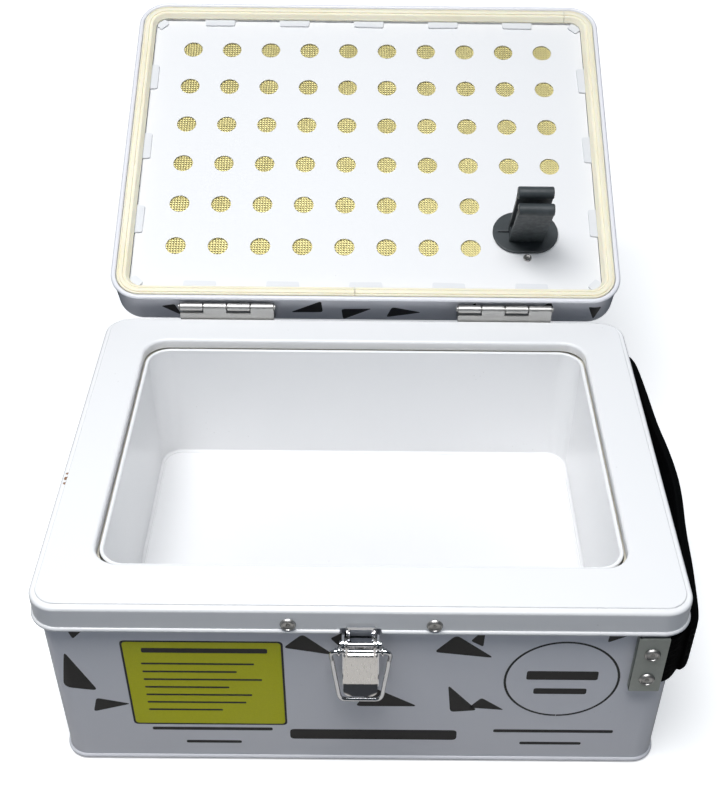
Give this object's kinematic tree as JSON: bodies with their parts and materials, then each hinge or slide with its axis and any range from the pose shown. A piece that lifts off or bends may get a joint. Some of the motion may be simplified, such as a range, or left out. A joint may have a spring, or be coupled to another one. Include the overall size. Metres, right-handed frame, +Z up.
{
  "type": "battery charging safety box",
  "caption": "Double-walled steel box for charging and storing battery packs, with a hinged vented lid, toggle latch, cable gland and webbing strap, shown open.",
  "frame": {"origin": "centre of the flat underside of the base pan", "axes": "+Z up, front with the toggle latch on -Y, hinges along X at the rear (+Y), carry strap on the +X side"},
  "size_m": [0.2999, 0.435, 0.2095],
  "materials": {
    "white_paint": "warm white gloss enamel",
    "printed_paint": "satin grey-lavender print over white enamel",
    "chrome": "nickel-chrome plated steel",
    "zinc": "zinc plated steel",
    "galvanised": "dull galvanised steel",
    "black_rubber": "matt black moulded rubber",
    "black_webbing": "black woven webbing",
    "mineral_board": "low-density mineral fibre board",
    "cream_seal": "cream silicone rubber",
    "brass_wire": "woven brass wire cloth"
  },
  "bodies": {
    "box": {"outer_wall": "printed_paint", "bottom_pan": "white_paint", "inner_tub": "white_paint", "wall_insulation": "mineral_board", "floor_insulation": "mineral_board", "top_collar": "white_paint", "collar_rivet_left": "zinc", "collar_rivet_right": "zinc", "strap_bracket_front": "galvanised", "strap_rivet_front_upper": "zinc", "strap_rivet_front_lower": "zinc", "strap_bracket_rear": "galvanised", "strap_rivet_rear_upper": "zinc", "strap_rivet_rear_lower": "zinc", "carry_strap": "black_webbing", "hinge_left_body_leaf": "zinc", "hinge_left_pin": "zinc", "hinge_right_body_leaf": "zinc", "hinge_right_pin": "zinc", "latch_base": "chrome", "latch_lever_pin": "chrome", "latch_rivet_lower": "chrome", "latch_rivet_upper": "chrome"},
    "lid": {"lid_shell": "printed_paint", "filter_tray": "white_paint", "perforated_panel": "white_paint", "flame_mesh": "brass_wire", "filter_pad": "mineral_board", "lid_seal": "cream_seal", "cable_grommet": "black_rubber", "grommet_rivet": "zinc", "hinge_left_lid_leaf": "zinc", "hinge_right_lid_leaf": "zinc", "lid_catch": "chrome", "catch_rivet_lower": "chrome", "catch_rivet_upper": "chrome"},
    "lever": {"latch_lever": "chrome"},
    "bail_pin": {"bail_pin": "chrome"},
    "bail": {"bail": "chrome"}
  },
  "joints": [
    {"name": "lid_hinge", "type": "hinge", "parent": "box", "child": "lid", "pos_m": [0, 0.111, 0.113], "axis": [1, 0, 0], "range_deg": [0, 155]},
    {"name": "lever_lift", "type": "hinge", "parent": "box", "child": "lever", "pos_m": [0, -0.1128, 0.0917], "axis": [-1, 0, 0], "range_deg": [0, 110]},
    {"name": "bail_pin_turn", "type": "hinge", "parent": "lever", "child": "bail_pin", "pos_m": [0, -0.1128, 0.0872], "axis": [-1, 0, 0], "range_deg": [-110, 0]},
    {"name": "bail_swing", "type": "hinge", "parent": "bail_pin", "child": "bail", "pos_m": [0, -0.1128, 0.0872], "axis": [-1, 0, 0], "range_deg": [0, 183]}
  ],
  "couplings": [
    {"joint": "bail_pin_turn", "follows": "lever_lift", "ratio": -1}
  ]
}
